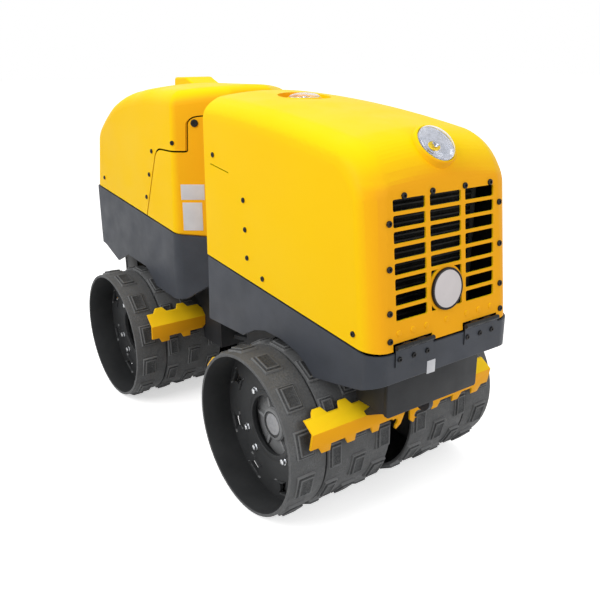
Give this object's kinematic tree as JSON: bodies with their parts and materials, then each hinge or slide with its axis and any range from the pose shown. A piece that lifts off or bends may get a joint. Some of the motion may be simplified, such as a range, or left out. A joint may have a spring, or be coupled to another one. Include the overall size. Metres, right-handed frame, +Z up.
{
  "type": "trench roller",
  "caption": "Articulated walk-behind trench roller with padfoot drums, tilting hoods, slotted grille, round lamps and scrapers.",
  "frame": {"origin": "on the floor at the centre of the machine's length and width, under the steering pivot", "axes": "+X along the machine towards the grille, +Y across it, +Z up"},
  "size_m": [1.853, 0.82, 1.262],
  "materials": {
    "hood_yellow": "gloss",
    "cowl_yellow": "gloss",
    "scraper_yellow": "satin",
    "skirt_grey": "satin",
    "drum_iron": "rough cast, painted",
    "frame_black": "satin",
    "hinge_black": "satin",
    "lamp_ring": "matte",
    "lamp_lens": "clear",
    "axle_steel": "machined",
    "rod_chrome": "polished",
    "plain_block": "painted"
  },
  "bodies": {
    "front_chassis": {"front_tub": "skirt_grey", "front_belly_pan": "skirt_grey", "front_carrier": "frame_black", "front_gearcase": "frame_black", "front_scraper_outer": "scraper_yellow", "front_scraper_inner": "scraper_yellow", "engine_block": "plain_block", "radiator": "frame_black", "front_hinge_leaves": "hinge_black", "oscillation_bearing": "frame_black"},
    "front_hood": {"front_hood": "hood_yellow", "front_grille": "cowl_yellow", "grille_badge": "cowl_yellow", "front_lamp_rings": "lamp_ring", "front_lamp_lenses": "lamp_lens", "front_hood_hinge_leaves": "hinge_black"},
    "front_axle": {"front_axle_shaft": "axle_steel", "front_drum_left": "drum_iron", "front_drum_right": "drum_iron", "front_ring_left": "drum_iron", "front_ring_right": "drum_iron"},
    "steering_yoke": {"steering_yoke": "frame_black", "steering_pin": "axle_steel", "lifting_mast": "scraper_yellow"},
    "rear_chassis": {"rear_tub": "skirt_grey", "rear_belly_pan": "skirt_grey", "rear_carrier": "frame_black", "rear_gearcase": "frame_black", "rear_scraper_outer": "scraper_yellow", "rear_scraper_inner": "scraper_yellow", "hydraulic_tank": "plain_block", "rear_cowl": "cowl_yellow", "rear_hinge_leaves": "hinge_black", "steering_barrel": "frame_black"},
    "steering_rod": {"steering_rod": "rod_chrome"},
    "rear_hood": {"rear_hood": "hood_yellow", "vent_cowl": "hood_yellow", "rear_lamp_ring": "lamp_ring", "rear_lamp_lens": "lamp_lens", "rear_hood_hinge_leaves": "hinge_black"},
    "rear_axle": {"rear_axle_shaft": "axle_steel", "rear_drum_left": "drum_iron", "rear_drum_right": "drum_iron", "rear_ring_left": "drum_iron", "rear_ring_right": "drum_iron"}
  },
  "joints": [
    {"name": "oscillation", "type": "hinge", "parent": "front_chassis", "child": "steering_yoke", "pos_m": [0.155, 0, 0.36], "axis": [1, 0, 0], "range_deg": [-8, 8]},
    {"name": "steering", "type": "hinge", "parent": "steering_yoke", "child": "rear_chassis", "pos_m": [0, 0, 0.36], "axis": [0, 0, 1], "range_deg": [-30, 30]},
    {"name": "steering_rod_slide", "type": "slide", "parent": "rear_chassis", "child": "steering_rod", "axis": [1, 0, 0], "range_m": [-0.044, 0.044]},
    {"name": "front_axle_spin", "type": "hinge", "parent": "front_chassis", "child": "front_axle", "pos_m": [0.504, 0, 0.25833], "axis": [0, 1, 0], "continuous": true},
    {"name": "rear_axle_spin", "type": "hinge", "parent": "rear_chassis", "child": "rear_axle", "pos_m": [-0.504, 0, 0.25833], "axis": [0, 1, 0], "continuous": true},
    {"name": "front_hood_tilt", "type": "hinge", "parent": "front_chassis", "child": "front_hood", "pos_m": [0.92, 0, 0.62102], "axis": [0, 1, 0], "range_deg": [0, 70]},
    {"name": "rear_hood_tilt", "type": "hinge", "parent": "rear_chassis", "child": "rear_hood", "pos_m": [-0.92, 0, 0.82598], "axis": [0, -1, 0], "range_deg": [0, 70]}
  ],
  "couplings": [
    {"joint": "steering_rod_slide", "follows": "steering", "m_per_rad": 0.0813}
  ]
}
